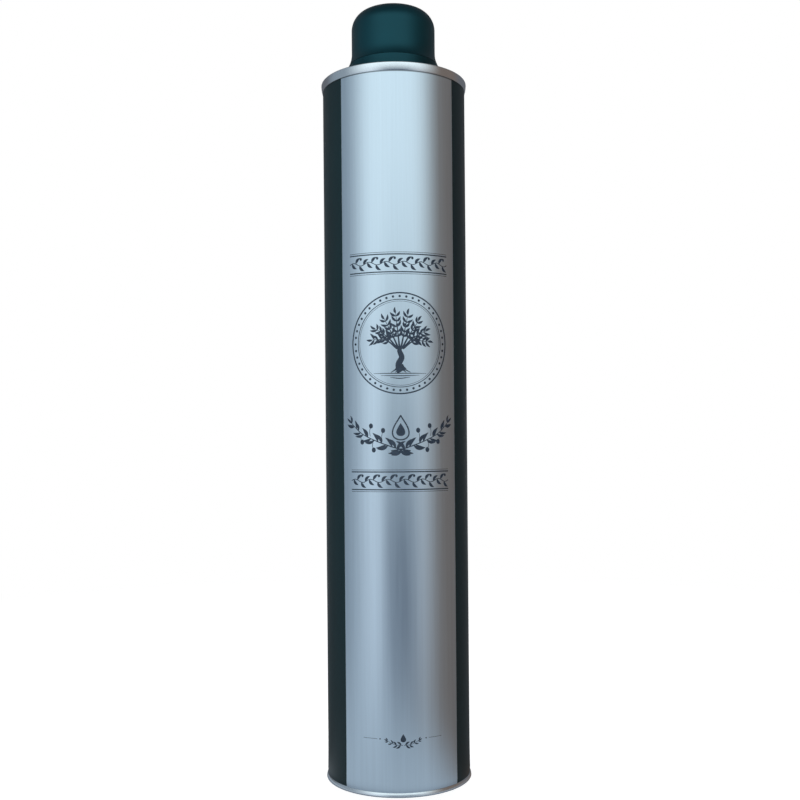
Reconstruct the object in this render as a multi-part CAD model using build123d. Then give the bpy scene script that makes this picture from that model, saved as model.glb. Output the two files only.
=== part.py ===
from build123d import *
import os
from math import atan2, cos, radians, sin

# A round litho-printed oil tin with a pull-up pouring spout under a domed screw cap.
# Lengths are in millimetres and angles in degrees. The tin stands on its bottom seam, on the
# Z axis, with its base at z = 0 and the middle of its front panel towards -Y.

# Tin plate
body_plate = 0.18
end_plate = 0.17
layer_gap = 0.02

# Can
tin_height = 256.7
body_radius = 26.35
top_seam_height = 3.0
bottom_seam_height = 1.7
hook_share = 0.62
fold_share = 0.7
compound_clearance = 0.03
weld_width = 0.7
weld_rise = 0.07
weld_sink = 0.09
weld_end_gap = 0.6

# Both ends
countersink_depth = 4.2
groove_width = 2.0
panel_rise = 1.2
groove_fold_share = 0.5
panel_fold_share = 0.35
step_fold = 0.7
top_bead_rise = 0.5
top_bead_share = 0.5
bottom_step_run = 1.5
bottom_step_rise = 0.55
bottom_step_shares = [0.85, 0.62, 0.37]

# Raised neck in the top end, with its outward curl
neck_hole_radius = 12.0
neck_height = 3.4
neck_fold = 1.0
curl_width = 1.6
curl_drop = 1.5
curl_fold_share = 0.45
gasket_thickness = 0.55
gasket_inset = 0.1

# Collar pressed over the curl
collar_play = 0.1
collar_neck_height = 5.65
collar_neck_wall = 2.2
collar_flange = 1.2
collar_flange_inset = 0.1
collar_edge = 0.35
plug_wall = 1.5
plug_reach = 4.2
plug_taper_run = 0.6
plug_taper_share = 0.7
bead_proud = 0.5
bead_height = 0.6
bead_slope = 0.6
bead_drop = 0.25
skirt_gap = 0.18
skirt_wall = 1.2
skirt_lip = 0.45
skirt_lip_height = 0.8
skirt_seat = 0.1
catch_gap = 0.4
catch_reach = 1.0
catch_edge = 0.4
rib_count = 4
rib_width = 1.7
rib_height = 1.6
rib_depth = 0.5
rib_overlap = 0.2

# Tamper band
band_gap = 0.15
band_height = 4.45
band_wall = 1.15
band_flare = 0.2
finger_count = 12
finger_slot = 1.6
finger_clearance = 0.35
finger_rise = 0.3
finger_thickness = 1.2
finger_tip = 0.7
stub_count = 10
stub_width = 0.8
stub_depth = 0.5
stub_height = 0.08
parting_gap = 0.15

# Pull-up spout
spout_play = 0.1
spout_wall = 1.1
pull_travel = 14.0
stop_clearance = 0.1
stop_flange = 1.2
stop_reach = 0.9
stop_chamfer = 0.6
spout_land = 0.8
groove_play = 0.12

# Screw thread of the spout and the cap
thread_lead = 4.0
thread_depth = 0.8
thread_root_width = 1.6
thread_crest_width = 0.8
thread_play = 0.2
thread_sink = 0.2
thread_start_rise = 1.9
spout_thread_turns = 1.5
cap_thread_turns = 1.25
cap_thread_start_turns = 0.35

# Pourer insert and its vent tube
insert_play = 0.03
insert_wall = 0.95
insert_depth = 7.0
insert_flange = 0.9
insert_web = 1.0
lip_height = 3.0
lip_stem = 0.7
lip_turn = 0.9
lip_reach = 1.0
lip_wall = 0.75
window_ledge = 1.2
window_gap = 0.6
vent_radius = 1.6
vent_wall = 0.55
vent_play = 0.02
vent_boss_wall = 0.8
vent_boss_height = 2.0
vent_side_gap = 0.6
vent_length = 31.0

# Liner and inner cap
liner_gap = 0.1
liner_thickness = 1.0
liner_seat = 0.05
inner_cap_wall = 1.3
inner_cap_top = 1.4
inner_cap_lift = 0.7
inner_cap_edge = 0.3

# Cap shell
cap_wall = 1.2
cap_side_space = 1.7
cap_headroom = 4.5
cap_corner_run = 6.125
cap_corner_rise = 6.57
cap_corner_turn = 72.0
cap_flare_height = 5.0
cap_flare_out = 1.2
grip_rib_count = 8
grip_rib_width = 1.0
grip_rib_play = 0.05
grip_rib_inner_radius = 4.0

# One overrun serves all cuts
overrun = 1.0

# Radii of the seam's layers, on the middle of each sheet
body_mid = body_radius - body_plate / 2
chuck_mid = body_radius - body_plate - layer_gap - end_plate / 2
end_hook_mid = body_radius + layer_gap + end_plate / 2
body_hook_mid = end_hook_mid + end_plate / 2 + layer_gap + body_plate / 2
seam_wall_mid = body_hook_mid + body_plate / 2 + layer_gap + end_plate / 2
body_fold = (body_hook_mid - body_mid) / 2 * fold_share
end_fold = body_fold + body_plate / 2 + layer_gap + end_plate / 2
hook_fold = (seam_wall_mid - end_hook_mid) / 2 * fold_share
groove_inner = chuck_mid - groove_width
groove_fold = panel_rise * groove_fold_share

# Radii and heights about the neck
neck_mid = neck_hole_radius + end_plate / 2
curl_mid = neck_mid + curl_width
curl_radius = curl_mid + end_plate / 2
curl_fold = curl_width * curl_fold_share
panel_depth = countersink_depth - panel_rise
panel_top = tin_height - panel_depth
neck_top = panel_top + neck_height
curl_end = neck_top - end_plate / 2 - curl_drop

# Collar
plug_radius = neck_hole_radius - collar_play
bore_radius = plug_radius - plug_wall
collar_neck_radius = bore_radius + collar_neck_wall
bead_top = panel_top - end_plate - bead_drop
bead_bottom = bead_top - bead_height - 2 * bead_slope
collar_bottom = bead_bottom - plug_reach
flange_bottom = neck_top + gasket_thickness
flange_top = flange_bottom + collar_flange
collar_top = flange_top + collar_neck_height
skirt_inner = curl_radius + skirt_gap
skirt_outer = skirt_inner + skirt_wall

# Spout, insert and liner
spout_radius = bore_radius - spout_play
spout_bore_radius = spout_radius - spout_wall
thread_flank = (thread_root_width - thread_crest_width) / 2 / thread_depth
thread_bottom = collar_top + thread_start_rise
thread_top = thread_bottom + thread_lead * spout_thread_turns
spout_top = thread_top + thread_root_width / 2 + spout_land
stop_top = collar_bottom - pull_travel - stop_clearance
spout_bottom = stop_top - stop_flange
insert_radius = spout_bore_radius - insert_play
insert_bore_radius = insert_radius - insert_wall
web_bottom = spout_top - insert_depth
web_top = web_bottom + insert_web
vent_boss_radius = vent_radius + vent_boss_wall
vent_place = insert_bore_radius - vent_side_gap - vent_boss_radius
lip_top = spout_top + lip_height
liner_bottom = lip_top + liner_gap
liner_top = liner_bottom + liner_thickness

# Cap and tamper band
inner_cap_bore_radius = spout_radius + thread_depth + thread_play
inner_cap_radius = inner_cap_bore_radius + inner_cap_wall
inner_cap_ceiling = liner_top + liner_seat
inner_cap_crown = inner_cap_ceiling + inner_cap_top
inner_cap_bottom = collar_top + inner_cap_lift
cap_radius = inner_cap_radius + cap_side_space + cap_wall
cap_foot_radius = cap_radius + cap_flare_out
cap_top = inner_cap_crown + cap_headroom + cap_wall
band_bottom = flange_top + band_gap
band_top = band_bottom + band_height
cap_bottom = band_top + parting_gap
finger_bottom = band_bottom + finger_rise
finger_top = finger_bottom + finger_thickness
catch_bottom = finger_top + catch_gap


def turned(outline):
    """Turn a closed outline, drawn as radius and height, about the Z axis."""
    return revolve(Plane.XZ * make_face(outline), Axis.Z)


def ring(inner_radius, outer_radius, bottom, top):
    """A plain ring between two radii and two heights."""
    corners = [(inner_radius, bottom), (outer_radius, bottom), (outer_radius, top), (inner_radius, top)]
    return turned(Polyline(*corners, close=True))


def around(radius, count, piece):
    """Copies of a piece, spaced evenly about the Z axis at a radius, as one shape."""
    return Part() + PolarLocations(radius, count) * piece


def sheet_side(points, folds, shift):
    """The corners and folds of a sheet's face that lies to the left of its middle line by shift."""
    ways = [Vector(*end) - Vector(*start) for start, end in zip(points, points[1:])]
    lefts = [Vector(-way.Y, way.X).normalized() for way in ways]
    corners = [Vector(*points[0]) + lefts[0] * shift]
    radii = [0]
    for point, fold, before, after in zip(points[1:-1], folds, lefts, lefts[1:]):
        corners.append(Vector(*point) + (before + after) * (shift / (1 + before.dot(after))))
        turns_left = before.cross(after).Z > 0
        radii.append(fold - shift if turns_left else fold + shift)
    corners.append(Vector(*points[-1]) + lefts[-1] * shift)
    radii.append(0)
    return corners, radii


def sheet(points, folds, plate):
    """Turn a bent sheet, whose middle runs through the points, about the Z axis."""
    left, left_radii = sheet_side(points, folds, plate / 2)
    right, right_radii = sheet_side(points, folds, -plate / 2)
    corners = left + right[::-1]
    return turned(FilletPolyline(*corners, radius=left_radii + right_radii[::-1], close=True))


def hook_length(seam_height):
    """How far a hook runs into its seam."""
    return seam_height * hook_share


def inward(points, rim, way):
    """Turn depths below a rim into heights; way is -1 from the top rim and 1 from the bottom one."""
    return [(radius, rim + way * depth) for radius, depth in points]


def end_seam(seam_height):
    """The end's part of a double seam and its chuck wall, as radius and depth below the rim."""
    hook_tip = seam_height - hook_length(seam_height)
    turn = seam_height - end_plate / 2
    groove = countersink_depth + end_plate / 2
    return [
        (end_hook_mid, hook_tip),
        (end_hook_mid, turn),
        (seam_wall_mid, turn),
        (seam_wall_mid, end_plate / 2),
        (chuck_mid, end_plate / 2),
        (chuck_mid, groove),
        (groove_inner, groove),
        (groove_inner, panel_depth + end_plate / 2),
    ]


def end_seam_folds():
    """The folds of those points, up to the edge of the panel."""
    return [hook_fold] * 2 + [end_fold] * 2 + [groove_fold] * 2 + [panel_rise * panel_fold_share]


def tin_body():
    """The rolled and welded wall, flanged into both seams, with the weld's low ridge at the back."""
    bend = end_plate + layer_gap + body_plate / 2
    bottom_tip = end_plate + layer_gap + hook_length(bottom_seam_height)
    top_tip = end_plate + layer_gap + hook_length(top_seam_height)
    points = [
        (body_hook_mid, bottom_tip),
        (body_hook_mid, bend),
        (body_mid, bend),
        (body_mid, tin_height - bend),
        (body_hook_mid, tin_height - bend),
        (body_hook_mid, tin_height - top_tip),
    ]
    wall = sheet(points, [body_fold] * 4, body_plate)
    weld_bottom = bottom_seam_height + weld_end_gap
    weld_top = tin_height - top_seam_height - weld_end_gap
    weld = Box(weld_width, weld_sink + weld_rise, weld_top - weld_bottom)
    place = body_radius + (weld_rise - weld_sink) / 2
    return wall + Pos(0, place, (weld_bottom + weld_top) / 2) * weld


def top_end():
    """The top end, from its hook in the seam, over a stiffening bead, to the curl round its neck."""
    panel = panel_depth + end_plate / 2
    raised = panel - top_bead_rise
    neck = panel_depth - neck_height + end_plate / 2
    bead_middle = (groove_inner + skirt_outer) / 2
    bead_run = (groove_inner - skirt_outer) * top_bead_share / 3
    points = end_seam(top_seam_height) + [
        (bead_middle + 3 / 2 * bead_run, panel),
        (bead_middle + bead_run / 2, raised),
        (bead_middle - bead_run / 2, raised),
        (bead_middle - 3 / 2 * bead_run, panel),
        (neck_mid, panel),
        (neck_mid, neck),
        (curl_mid, neck),
        (curl_mid, neck + curl_drop),
    ]
    folds = end_seam_folds() + [step_fold] * 4 + [neck_fold, curl_fold, curl_fold]
    return sheet(inward(points, tin_height, -1), folds, end_plate)


def bottom_end():
    """The bottom end, with stepped rings that let it flex."""
    points = end_seam(bottom_seam_height)
    depth = panel_depth + end_plate / 2
    for share in bottom_step_shares:
        radius = groove_inner * share
        points = points + [(radius, depth), (radius - bottom_step_run, depth + bottom_step_rise)]
        depth = depth + bottom_step_rise
    points = points + [(0, depth)]
    folds = end_seam_folds() + [step_fold] * (2 * len(bottom_step_shares))
    return sheet(inward(points, 0, 1), folds, end_plate)


def seam_compound(seam_height, rim, way):
    """The sealing compound in the two voids of a double seam, above and below its hooks."""
    tip = end_plate / 2
    end_tip = seam_height - hook_length(seam_height) - tip
    body_turn = end_plate + layer_gap + body_plate
    body_tip = end_plate + layer_gap + hook_length(seam_height) + body_plate / 2
    upper = [
        (body_radius + compound_clearance, body_turn + compound_clearance),
        (body_hook_mid - body_plate / 2 - compound_clearance, end_tip - compound_clearance),
    ]
    lower = [
        (end_hook_mid + end_plate / 2 + compound_clearance, body_tip + compound_clearance),
        (seam_wall_mid - end_plate / 2 - compound_clearance, seam_height - end_plate - compound_clearance),
    ]
    rings = []
    for corners in [upper, lower]:
        (inner_radius, first), (outer_radius, last) = inward(corners, rim, way)
        rings.append(ring(inner_radius, outer_radius, min(first, last), max(first, last)))
    return Compound(children=rings)


def neck_gasket():
    """The flat gasket between the curl and the collar's flange."""
    return ring(neck_hole_radius + gasket_inset, curl_radius - gasket_inset, neck_top, flange_bottom)


def spout_collar():
    """The collar: plug and bead in the neck, skirt over the curl, and the guide for the spout."""
    lip_upper = curl_end - skirt_lip - skirt_seat
    skirt_bottom = lip_upper - skirt_lip_height
    flange_radius = cap_foot_radius - collar_flange_inset
    catch_radius = collar_neck_radius + catch_reach
    outline = Polyline(
        (bore_radius, collar_bottom),
        (plug_radius - plug_taper_run, collar_bottom),
        (plug_radius, collar_bottom + plug_reach * plug_taper_share),
        (plug_radius, bead_bottom),
        (plug_radius + bead_proud, bead_bottom + bead_slope),
        (plug_radius + bead_proud, bead_bottom + bead_slope + bead_height),
        (plug_radius, bead_top),
        (plug_radius, flange_bottom),
        (skirt_inner, flange_bottom),
        (skirt_inner, lip_upper + skirt_lip),
        (skirt_inner - skirt_lip, lip_upper),
        (skirt_inner - skirt_lip, skirt_bottom + skirt_lip),
        (skirt_inner, skirt_bottom),
        (skirt_outer, skirt_bottom),
        (skirt_outer, flange_bottom),
        (flange_radius, flange_bottom),
        (flange_radius, flange_top - collar_edge),
        (flange_radius - collar_edge, flange_top),
        (collar_neck_radius, flange_top),
        (collar_neck_radius, catch_bottom),
        (catch_radius, catch_bottom),
        (catch_radius, catch_bottom + catch_edge),
        (collar_neck_radius, catch_bottom + catch_edge + catch_reach),
        (collar_neck_radius, collar_top - collar_edge),
        (collar_neck_radius - collar_edge, collar_top),
        (bore_radius + collar_edge, collar_top),
        (bore_radius, collar_top - collar_edge),
        close=True,
    )
    rib = Box(rib_depth + rib_overlap, rib_width, rib_height)
    rib_place = bore_radius + (rib_overlap - rib_depth) / 2
    ribs = around(rib_place, rib_count, rib)
    return turned(outline) + Pos(0, 0, collar_bottom + rib_height / 2) * ribs


def tamper_band():
    """The band left on the collar once the cap is broken loose, held by fingers under the catch."""
    foot_radius = cap_foot_radius + band_flare
    inner_radius = cap_foot_radius - band_wall
    tip_radius = collar_neck_radius + finger_clearance
    outline = Polyline(
        (inner_radius, band_bottom),
        (foot_radius, band_bottom),
        (cap_foot_radius, band_top),
        (inner_radius, band_top),
        (inner_radius, finger_top),
        (tip_radius, finger_top),
        (tip_radius, finger_top - finger_tip),
        (inner_radius, finger_bottom),
        close=True,
    )
    slot = Box(inner_radius - tip_radius + overrun, finger_slot, finger_thickness + overrun)
    slot_place = (inner_radius + tip_radius - overrun) / 2
    slots = around(slot_place, finger_count, slot)
    stub = Box(stub_depth, stub_width, 2 * stub_height)
    stubs = around(cap_foot_radius - band_wall / 2, stub_count, stub)
    band = turned(outline) - Pos(0, 0, (finger_bottom + finger_top) / 2) * slots
    return band + Pos(0, 0, band_top) * stubs


def thread_ridge(wall_radius, out, start_turns, start_height, turns):
    """A right-handed ridge on a wall; out is 1 on the outside of a tube and -1 on the inside."""
    root = thread_root_width / 2 + thread_flank * thread_sink
    crest = thread_crest_width / 2
    inner = wall_radius - out * thread_sink
    outer = wall_radius + out * thread_depth
    corners = [(inner, -root), (outer, -crest), (outer, crest), (inner, root)]
    profile = Plane.XZ * make_face(Polyline(*corners, close=True))
    path = Helix(thread_lead, thread_lead * turns, wall_radius)
    ridge = sweep(profile, path=path, is_frenet=True)
    return Pos(0, 0, start_height) * Rot(0, 0, start_turns * 360) * ridge


def pour_spout():
    """The sliding tube, threaded for the cap, with its stop flange and the grooves for the ribs."""
    stop_radius = spout_radius + stop_reach
    outline = Polyline(
        (spout_bore_radius, spout_bottom),
        (stop_radius - stop_chamfer, spout_bottom),
        (stop_radius, spout_bottom + stop_chamfer),
        (stop_radius, stop_top),
        (spout_radius, stop_top),
        (spout_radius, spout_top),
        (spout_bore_radius, spout_top),
        close=True,
    )
    groove_top = collar_bottom + rib_height + groove_play
    groove_height = groove_top - stop_top
    groove_depth = rib_depth + groove_play - spout_play
    groove = Box(groove_depth + overrun, rib_width + 2 * groove_play, groove_height)
    groove_place = spout_radius + (overrun - groove_depth) / 2
    grooves = around(groove_place, rib_count, groove)
    tube = turned(outline) - Pos(0, 0, stop_top + groove_height / 2) * grooves
    return tube + thread_ridge(spout_radius, 1, 0, thread_bottom, spout_thread_turns)


def pourer_insert():
    """The drip-free lip and its plug, with a pouring window and a vent hole in the web below."""
    flange_top_face = spout_top + insert_flange
    stem_radius = insert_bore_radius + lip_wall
    outline = Polyline(
        (0, web_bottom),
        (insert_radius, web_bottom),
        (insert_radius, spout_top),
        (spout_radius, spout_top),
        (spout_radius, flange_top_face - insert_flange / 2),
        (stem_radius, flange_top_face),
        (stem_radius, flange_top_face + lip_stem),
        (stem_radius + lip_reach, lip_top - insert_flange / 2),
        (stem_radius + lip_reach, lip_top),
        (stem_radius, lip_top),
        (insert_bore_radius, lip_top - lip_turn),
        (insert_bore_radius, web_top),
        (0, web_top),
        close=True,
    )
    window_radius = insert_bore_radius - window_ledge
    chord_place = vent_place - vent_boss_radius - window_gap
    beyond_chord = Rectangle(2 * window_radius + overrun, 2 * window_radius)
    window = Circle(window_radius) - Pos(0, chord_place + window_radius) * beyond_chord
    window_cut = extrude(window, insert_web + 2 * overrun)
    boss = Cylinder(vent_boss_radius, vent_boss_height, align=(Align.CENTER, Align.CENTER, Align.MIN))
    hole = Cylinder(vent_radius + vent_play, vent_boss_height + insert_web + 2 * overrun)
    pourer = turned(outline) + Pos(0, vent_place, web_bottom) * boss
    pourer = pourer - Pos(0, 0, web_bottom - overrun) * window_cut
    return pourer - Pos(0, vent_place, web_bottom + vent_boss_height / 2) * hole


def air_tube():
    """The vent tube that lets air in behind the oil."""
    tube = Circle(vent_radius) - Circle(vent_radius - vent_wall)
    top = web_bottom + vent_boss_height
    return Pos(0, vent_place, top - vent_length) * extrude(tube, vent_length)


def cap_liner():
    """The soft disc that seals on the pouring lip."""
    return ring(0, inner_cap_bore_radius - thread_play / 2, liner_bottom, liner_top)


def inner_cap_body():
    """The threaded cup that screws onto the spout."""
    outline = Polyline(
        (inner_cap_bore_radius + inner_cap_edge, inner_cap_bottom),
        (inner_cap_radius, inner_cap_bottom),
        (inner_cap_radius, inner_cap_crown - inner_cap_edge),
        (inner_cap_radius - inner_cap_edge, inner_cap_crown),
        (0, inner_cap_crown),
        (0, inner_cap_ceiling),
        (inner_cap_bore_radius, inner_cap_ceiling),
        (inner_cap_bore_radius, inner_cap_bottom + inner_cap_edge),
        close=True,
    )
    below = thread_root_width - thread_flank * (thread_depth + thread_play) + thread_play
    start = thread_bottom - below + thread_lead * cap_thread_start_turns
    ridge = thread_ridge(inner_cap_bore_radius, -1, cap_thread_start_turns, start, cap_thread_turns)
    return turned(outline) + ridge


def dome_edges(radius, run, rise, top):
    """An elliptical corner and the crown that carries on from it, up to the axis."""
    slope = atan2(rise * cos(radians(cap_corner_turn)), run * sin(radians(cap_corner_turn)))
    end_radius = radius - run + run * cos(radians(cap_corner_turn))
    crown_radius = end_radius / sin(slope)
    end_height = top - crown_radius * (1 - cos(slope))
    centre_height = end_height - rise * sin(radians(cap_corner_turn))
    middle = (crown_radius * sin(slope / 2), top - crown_radius * (1 - cos(slope / 2)))
    corner = EllipticalCenterArc((radius - run, centre_height), run, rise, arc_size=cap_corner_turn)
    crown = ThreePointArc((end_radius, end_height), middle, (0, top))
    return corner, crown, centre_height


def cap_outline(shrink):
    """Half of the cap's outside, or of a surface that lies a wall inside it, from foot to crown."""
    corner, crown, shoulder = dome_edges(
        cap_radius - shrink, cap_corner_run - shrink, cap_corner_rise - shrink, cap_top - shrink
    )
    waist = (cap_radius - shrink, cap_bottom + cap_flare_height)
    flare = TangentArc(waist, (cap_foot_radius - shrink, cap_bottom), tangent=(0, -1))
    wall = Line(waist, (cap_radius - shrink, shoulder))
    foot = Line((0, cap_bottom), (cap_foot_radius - shrink, cap_bottom))
    axis = Line((0, cap_top - shrink), (0, cap_bottom))
    lines = [foot, flare, wall, corner, crown, axis]
    return Wire([edge for line in lines for edge in line.edges()])


def cap_shell():
    """The domed outer cap, with the ribs inside that carry the inner cap."""
    outside = turned(cap_outline(0))
    inside = turned(cap_outline(cap_wall))
    rib_bottom = inner_cap_bottom + inner_cap_edge
    rib_span = cap_radius - grip_rib_inner_radius
    rib = Box(rib_span, grip_rib_width, cap_top - rib_bottom)
    ribs = around(grip_rib_inner_radius + rib_span / 2, grip_rib_count, rib)
    ribs = Pos(0, 0, (cap_top + rib_bottom) / 2) * ribs
    held = Cylinder(inner_cap_radius + grip_rib_play, inner_cap_crown + grip_rib_play - cap_bottom)
    held = Pos(0, 0, (inner_cap_crown + grip_rib_play + cap_bottom) / 2) * held
    return (outside - inside) + ((ribs & turned(cap_outline(cap_wall / 2))) - held)


parts = {
    "tin_body": tin_body(),
    "top_end": top_end(),
    "bottom_end": bottom_end(),
    "top_seam_compound": seam_compound(top_seam_height, tin_height, -1),
    "bottom_seam_compound": seam_compound(bottom_seam_height, 0, 1),
    "spout_collar": spout_collar(),
    "neck_gasket": neck_gasket(),
    "tamper_band": tamper_band(),
    "pour_spout": pour_spout(),
    "pourer_insert": pourer_insert(),
    "air_tube": air_tube(),
    "cap_liner": cap_liner(),
    "cap_inner": inner_cap_body(),
    "cap_shell": cap_shell(),
}

os.makedirs("parts", exist_ok=True)
for name, shape in parts.items():
    export_step(shape, f"parts/{name}.step")
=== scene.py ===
import math
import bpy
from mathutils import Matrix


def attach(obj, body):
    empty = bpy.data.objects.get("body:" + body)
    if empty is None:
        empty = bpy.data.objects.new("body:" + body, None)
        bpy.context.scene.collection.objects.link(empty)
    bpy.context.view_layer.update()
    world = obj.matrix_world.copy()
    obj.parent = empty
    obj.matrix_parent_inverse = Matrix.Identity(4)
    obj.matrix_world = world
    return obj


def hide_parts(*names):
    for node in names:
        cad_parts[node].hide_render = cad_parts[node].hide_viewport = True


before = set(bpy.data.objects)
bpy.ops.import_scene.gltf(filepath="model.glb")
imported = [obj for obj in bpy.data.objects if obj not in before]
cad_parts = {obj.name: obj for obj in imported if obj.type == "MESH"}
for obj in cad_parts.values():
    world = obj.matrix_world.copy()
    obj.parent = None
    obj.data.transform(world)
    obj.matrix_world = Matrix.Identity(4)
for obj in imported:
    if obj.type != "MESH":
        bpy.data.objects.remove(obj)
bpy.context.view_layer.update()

from types import SimpleNamespace

import bpy
import numpy as np
from bpy.props import FloatProperty, FloatVectorProperty, IntProperty, PointerProperty
from bpy.types import NodeSocket, Operator, Panel, PropertyGroup

bl_info = {
    "name": "Olive oil tin with spout",
    "version": (1, 0, 0),
    "blender": (4, 5, 0),
    "location": "3D View > Sidebar > Oil Tin",
    "description": "Makes an oil tin's printed wall, ends, finishes and studio",
    "category": "Add Mesh",
}

MM = 0.001


def number(name, description, value, **kind):
    """A number property."""
    return FloatProperty(name=name, description=description, default=value, **kind)


def length(name, description, millimetres):
    """A length property whose default is given in millimetres."""
    return number(name, description, millimetres * MM, unit="LENGTH", precision=5)


def angle(name, description, degrees):
    """An angle property whose default is given in degrees."""
    return number(name, description, math.radians(degrees), subtype="ANGLE")


def share(name, description, value):
    """A share between nothing and one."""
    return number(name, description, value, min=0, max=1, subtype="FACTOR")


def colour(name, description, *linear):
    """A colour property, in linear light."""
    return FloatVectorProperty(
        name=name, description=description, default=linear, subtype="COLOR", size=3, min=0, max=1
    )


class TinSizes(PropertyGroup):
    """Sizes of the can's sheet metal."""

    height: length("Height", "From the base to the top of the upper seam", 256.7)
    body_radius: length("Body radius", "Outside radius of the wall", 26.35)
    body_plate: length("Wall plate", "Thickness of the wall's plate", 0.18)
    end_plate: length("End plate", "Thickness of the ends' plate", 0.17)
    layer_gap: length("Layer gap", "Gap between the layers of a seam", 0.02)
    top_seam: length("Top seam", "Height of the upper seam", 3.0)
    bottom_seam: length("Bottom seam", "Height of the lower seam", 1.7)
    hook_share: share("Hook share", "Length of a hook against its seam", 0.62)
    fold_share: share("Fold share", "Fold radius of a hook against half its width", 0.7)
    compound_gap: length("Compound gap", "Gap between the compound and the sheets", 0.03)
    countersink: length("Countersink", "Depth of the groove inside the rim", 4.2)
    groove_width: length("Groove width", "Width of the groove inside the rim", 2.0)
    panel_rise: length("Panel rise", "Height of the panel over the groove", 1.2)
    neck_radius: length("Neck radius", "Inside radius of the raised neck", 12.0)
    neck_height: length("Neck height", "Height of the neck over the panel", 3.4)
    curl_width: length("Curl width", "How far the neck's curl turns out", 1.6)
    curl_drop: length("Curl drop", "How far the neck's curl hangs down", 1.5)
    seam_taper: length("Seam taper", "How far a seam draws in from its rim on", 0.42)
    foot_flare: length("Foot flare", "How far the wall widens at its foot", 0.15)
    flare_height: length("Flare height", "Where the wall starts to widen", 16.0)
    weld_gap: length("Weld gap", "From a seam to the end of the weld's ridge", 0.6)
    around: IntProperty(name="Steps", description="Faces around the can", default=320, min=64)


class PrintSizes(PropertyGroup):
    """Sizes and places of the printed panel and its motifs."""

    panel_turn: angle("Panel turn", "From the front to the panel's middle", 3.3)
    panel_half: angle("Panel half width", "Half the silver panel's span", 48.5)
    weld_margin: length("Weld margin", "Half width of the bare strip along the weld", 2.2)
    # Painted shade: these two set a dark line painted on the wall just under the upper seam,
    # standing in for the seam's shadow.
    varnish_line: length("Seam shade line", "Height of the painted shade under the upper seam", 0.5)
    varnish_depth: share("Seam shade depth", "How much darker the painted shade makes the wall", 0.68)
    ink_proud: length("Ink proud", "How far the ink stands over the wall", 0.018)
    ink_sunk: length("Ink sunk", "How far the ink lies in the wall", 0.01)
    border_reach: length("Border reach", "Half width of the garland borders", 18.6)
    upper_border: length("Upper border", "Height of the upper garland", 186.5)
    lower_border: length("Lower border", "Height of the lower garland", 110.5)
    medallion_height: length("Medallion height", "Height of its middle", 158.5)
    medallion_radius: length("Medallion radius", "Radius of the medallion", 17.6)
    spray_height: length("Spray height", "Height of the crossed sprays", 126.5)
    foot_height: length("Foot height", "Height of the ornament near the base", 20.0)


class FinishColours(PropertyGroup):
    """Colours of the finishes, in linear light."""

    silver: colour("Silver", "Varnished tinplate of the panel", 0.66, 0.80, 0.92)
    heated: colour("Heated", "Tinplate darkened by the weld's heat", 0.25, 0.24, 0.27)
    tinplate: colour("Tinplate", "Plain tinplate of the ends", 0.79, 0.88, 0.95)
    lacquer: colour("Lacquer", "Dark green lacquer round the can", 0.008, 0.030, 0.037)
    ink: colour("Ink", "Slate-blue printing ink", 0.020, 0.034, 0.056)
    green: colour("Green plastic", "Cap, band, collar and spout", 0.0078, 0.068, 0.091)
    pourer: colour("Pourer plastic", "Pourer and inner cap", 0.72, 0.73, 0.70)
    compound: colour("Compound", "Rubber of the seams", 0.13, 0.155, 0.18)
    gasket: colour("Gasket", "Rubber of the neck gasket", 0.055, 0.055, 0.058)
    foam: colour("Foam", "Foam of the cap's liner", 0.78, 0.78, 0.75)


class StudioTones(PropertyGroup):
    """Tones of the floor and of the room that the tin mirrors."""

    floor: colour("Floor", "Pale floor near the tin", 0.47, 0.47, 0.47)
    softbox: colour("Softbox", "Broad light in front", 0.93, 1.0, 1.0)
    low_front: colour("Low front", "Front below the softbox", 0.64, 0.68, 0.73)
    card: colour("Dark card", "Dark card low in the middle", 0.09, 0.11, 0.15)
    left_side: colour("Left side", "Cool wall at the left", 0.25, 0.285, 0.32)
    right_side: colour("Right side", "Warm dark wall at the right", 0.17, 0.13, 0.11)
    table: colour("Table", "Table top close to the tin", 0.40, 0.44, 0.48)
    # Painted shadow: the mirrored table is darker at the tin's foot, in place of the tin's contact
    # shadow.
    at_foot: colour("Foot shadow", "Painted shadow on the mirrored table at the tin's foot", 0.18, 0.20, 0.23)
    behind: colour("Behind", "Dim flanks of the back", 0.13, 0.13, 0.14)
    back_light: colour("Back light", "Soft light behind the tin", 0.42, 0.45, 0.48)
    ceiling: colour("Ceiling", "Dim ceiling of the room", 0.12, 0.13, 0.14)


class StageSizes(PropertyGroup):
    """Camera, floor and mirrored screens."""

    camera_distance: length("Camera distance", "From the can's axis to the camera", 388)
    camera_height: length("Camera height", "Height of the level camera", 125.1)
    camera_roll: angle("Camera roll", "Lean of the camera about its view", 0.477)
    lens: number("Lens", "Focal length", 46.7, unit="CAMERA")
    floor_radius: length("Floor radius", "Radius of the pale floor", 6000)
    screen_radius: length("Screen radius", "Radius of the mirrored screens", 900)
    screen_top: length("Screen top", "Height of the mirrored wall", 2300)


# Shapes

FOLD_STEPS = 7
SHARP_EDGE = math.radians(40)

# Fold radii, two of them as shares of a length; then the top's bead and the bottom's steps
PANEL_FOLD, CURL_FOLD, NECK_FOLD, STEP_FOLD = 0.35, 0.45, 1.0 * MM, 0.7 * MM
COLLAR_ROOM, BEAD_RISE, STEP_RUN, STEP_RISE = 1.38 * MM, 0.5 * MM, 1.5 * MM, 0.55 * MM
STEP_PLACES = (0.85, 0.62, 0.37)

# Longest steps along the wall's and the ends' sections, and rings up a compound's side
WALL_STEP, END_STEP, COMPOUND_STEPS = 1.5 * MM, 0.5 * MM, 9

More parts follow.
